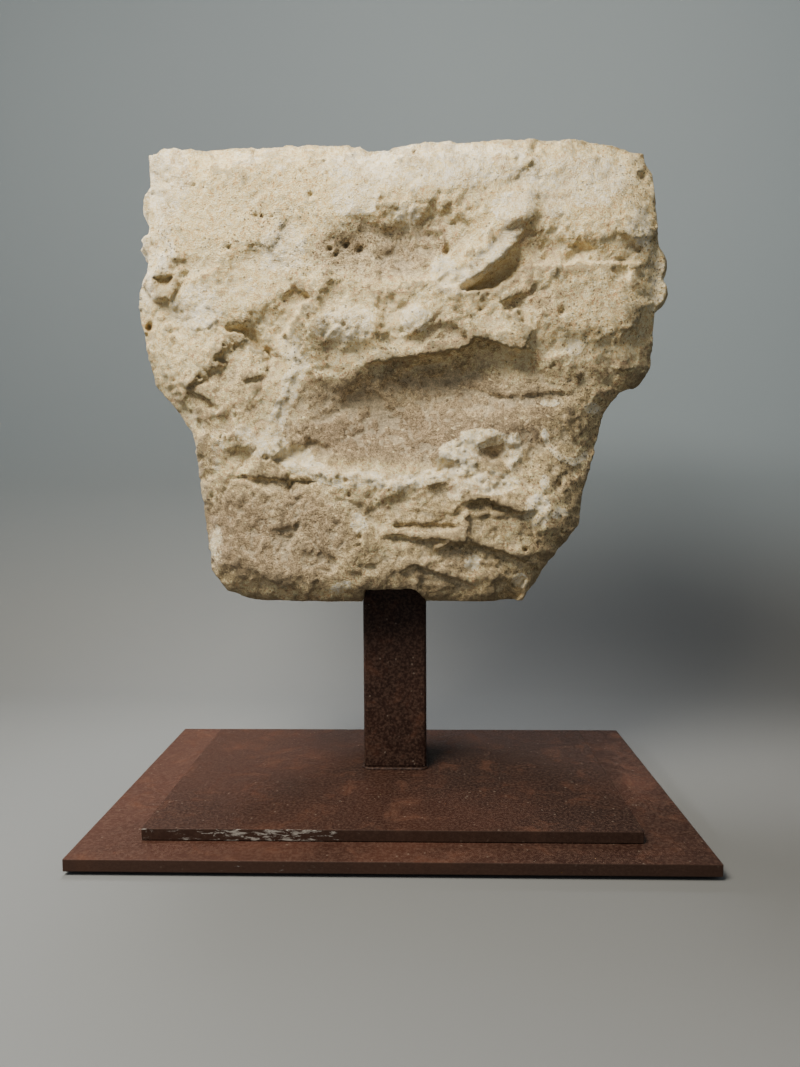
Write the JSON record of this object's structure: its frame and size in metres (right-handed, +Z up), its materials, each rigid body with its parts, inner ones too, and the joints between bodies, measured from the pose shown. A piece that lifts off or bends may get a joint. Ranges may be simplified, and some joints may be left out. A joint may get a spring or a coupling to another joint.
{
  "type": "broken corinthian capital on a steel stand",
  "caption": "Fragment of a carved stone column capital, split down its back, held above a stepped steel base by a square post",
  "frame": {"origin": "middle of the base's underside, on the floor", "axes": "+Z up, the broken face of the stone towards -Y, what is left of the carving towards +Y, +X to the right when looking at the break"},
  "size_m": [0.5, 0.3534, 0.5916],
  "materials": {
    "limestone": "matte",
    "post_steel": "satin",
    "plate_steel": "satin",
    "felt": "matte"
  },
  "bodies": {
    "root": {"capital_stone": "limestone", "post": "post_steel", "upper_plate": "plate_steel", "lower_plate": "plate_steel", "felt_underlay": "felt"}
  },
  "joints": []
}
